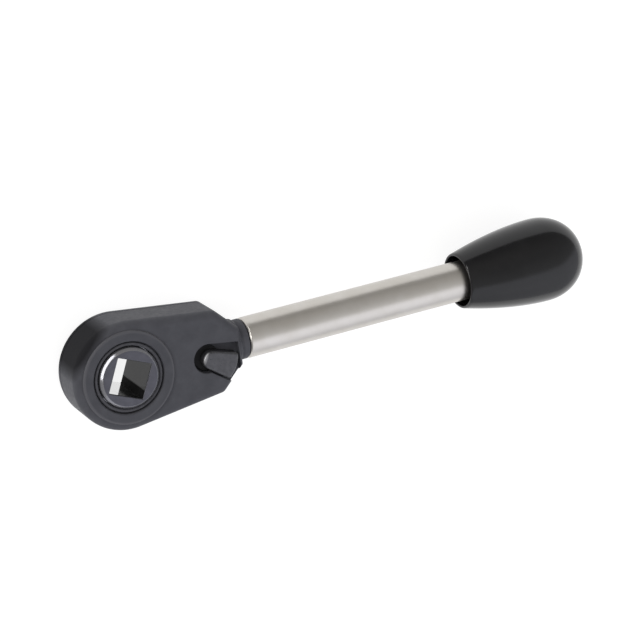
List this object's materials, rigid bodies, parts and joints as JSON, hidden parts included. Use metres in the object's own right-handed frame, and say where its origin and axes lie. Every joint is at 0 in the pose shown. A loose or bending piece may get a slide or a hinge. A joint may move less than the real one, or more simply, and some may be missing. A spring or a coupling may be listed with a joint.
{
  "type": "ratchet tap wrench",
  "caption": "Reversible ratchet wrench with a through square socket for taps, a thumb selector, a round steel handle and a tapered plastic grip.",
  "frame": {"origin": "centre of the whole wrench's box, on the tube's axis", "axes": "+X along the tube towards the grip; +Z out of the head's front face, which carries the selector, and parallel to the socket's axis"},
  "size_m": [0.1956, 0.037, 0.03],
  "materials": {
    "black_casting": "satin black coating with a fine texture",
    "black_screw_steel": "blackened",
    "blackened_steel": "blackened and oiled",
    "black_rubber": "matt",
    "plain_steel": "ground",
    "dark_lever": "semi-gloss dark coating",
    "stainless_tube": "ground stainless",
    "brass": "turned",
    "black_plastic": "gloss"
  },
  "bodies": {
    "handle": {"housing": "black_casting", "back_cover": "black_casting", "cover_screw_1": "black_screw_steel", "cover_screw_2": "black_screw_steel", "cover_screw_3": "black_screw_steel", "cover_screw_4": "black_screw_steel", "front_seal_ring": "black_rubber", "back_seal_ring": "black_rubber", "wave_washer": "plain_steel", "pawl_pin": "plain_steel", "handle_tube": "stainless_tube", "spring_pin": "plain_steel", "tube_end_plug": "plain_steel", "grip_bush": "brass", "grip": "black_plastic"},
    "wheel": {"ratchet_wheel": "blackened_steel"},
    "pawl": {"pawl": "plain_steel"},
    "selector": {"selector_lever": "dark_lever", "selector_clip": "plain_steel", "plunger_spring": "plain_steel"},
    "plunger": {"detent_plunger": "plain_steel"}
  },
  "joints": [
    {"name": "wheel_turn", "type": "hinge", "parent": "handle", "child": "wheel", "pos_m": [-0.07925, 0, 0], "axis": [0, 0, 1], "continuous": true},
    {"name": "selector_turn", "type": "hinge", "parent": "handle", "child": "selector", "pos_m": [-0.05105, -0.0009, 0], "axis": [0, 0, 1], "range_deg": [0, 19]},
    {"name": "pawl_rock", "type": "hinge", "parent": "handle", "child": "pawl", "pos_m": [-0.06065, 0, 0], "axis": [0, 0, 1], "range_deg": [-10.36, 0]},
    {"name": "plunger_slide", "type": "slide", "parent": "selector", "child": "plunger", "axis": [-0.9426, 0.3338, 0], "range_m": [-0.0008, 0], "stiffness_N_per_m": 600, "springref_m": 0.0015, "deforming": ["plunger_spring"]}
  ],
  "couplings": [
    {"joint": "pawl_rock", "follows": "selector_turn", "ratio": -0.545}
  ]
}
